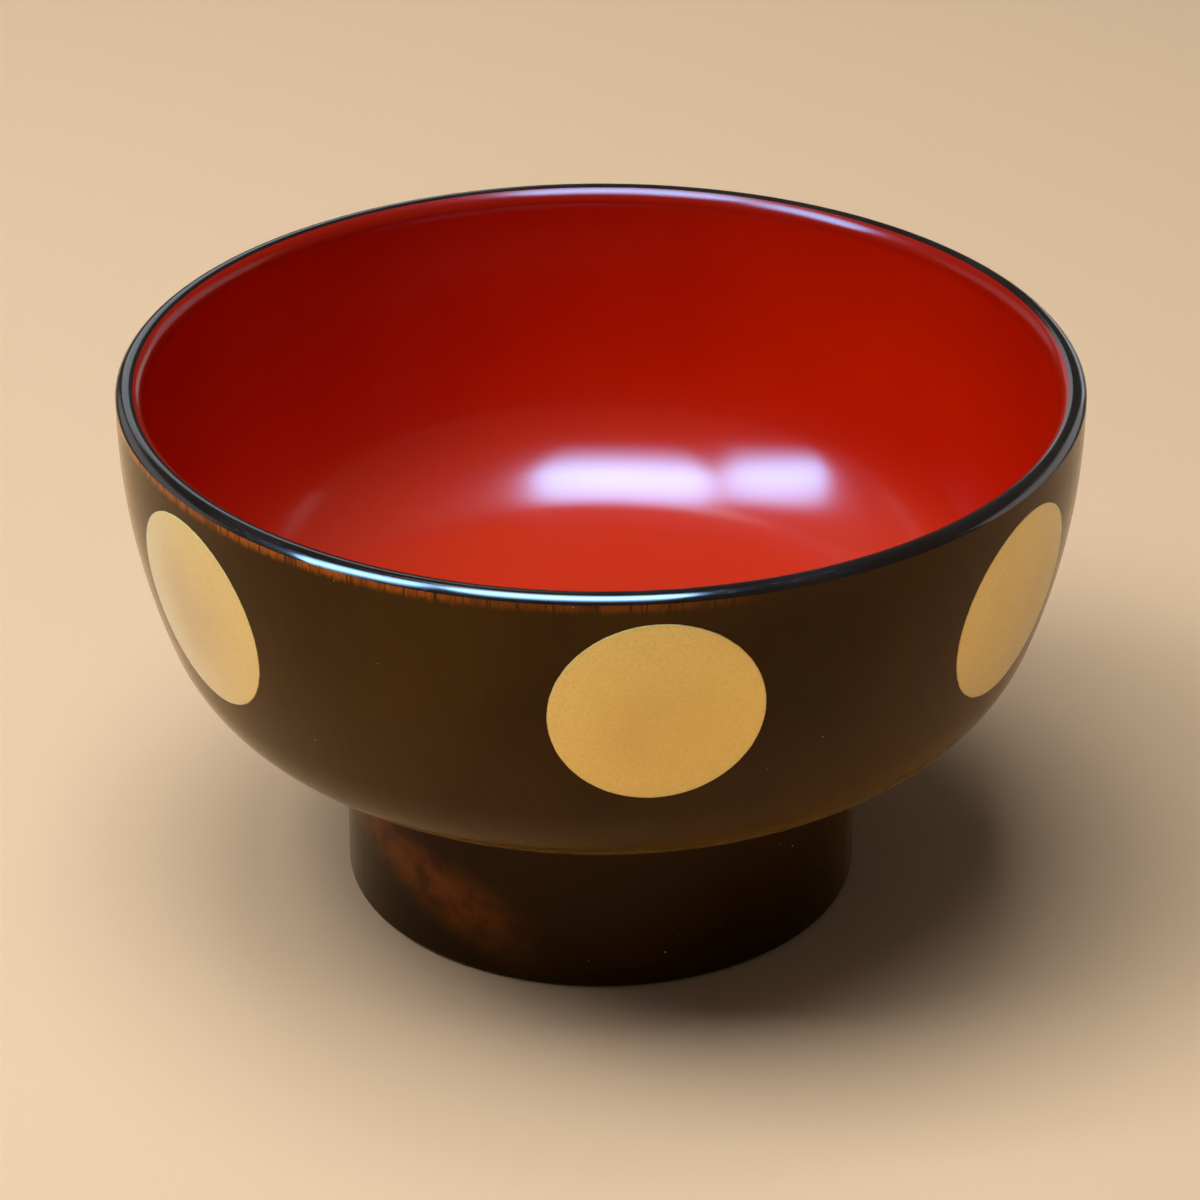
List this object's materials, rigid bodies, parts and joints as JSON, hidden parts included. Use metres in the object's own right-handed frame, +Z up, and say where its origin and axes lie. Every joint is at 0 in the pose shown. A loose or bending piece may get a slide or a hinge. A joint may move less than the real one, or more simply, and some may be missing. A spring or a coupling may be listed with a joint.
{
  "type": "rice bowl",
  "caption": "Round footed rice or soup bowl in turned wood, red lacquer inside, brown lacquer outside, a black lip and plain gold discs around the wall.",
  "frame": {"origin": "centre of the sole, on the surface the bowl stands on", "axes": "+Z up along the turning axis, -Y towards the side seen in the picture, +X to the right of that view"},
  "size_m": [0.12, 0.1202, 0.07],
  "materials": {
    "wood": "turned, all of it under lacquer",
    "red_lacquer": "smooth, soft gloss",
    "black_lacquer": "smooth gloss",
    "brown_lacquer": "translucent gloss over wood",
    "foot_lacquer": "smooth gloss",
    "gold": "matt powder gold"
  },
  "bodies": {
    "root": {"wood_core": "wood", "red_coat": "red_lacquer", "lip_coat": "black_lacquer", "brown_coat": "brown_lacquer", "sole_coat": "foot_lacquer", "well_coat": "foot_lacquer", "disc_front": "gold", "disc_right": "gold", "disc_back_right": "gold", "disc_back": "gold", "disc_back_left": "gold", "disc_left": "gold"}
  },
  "joints": []
}
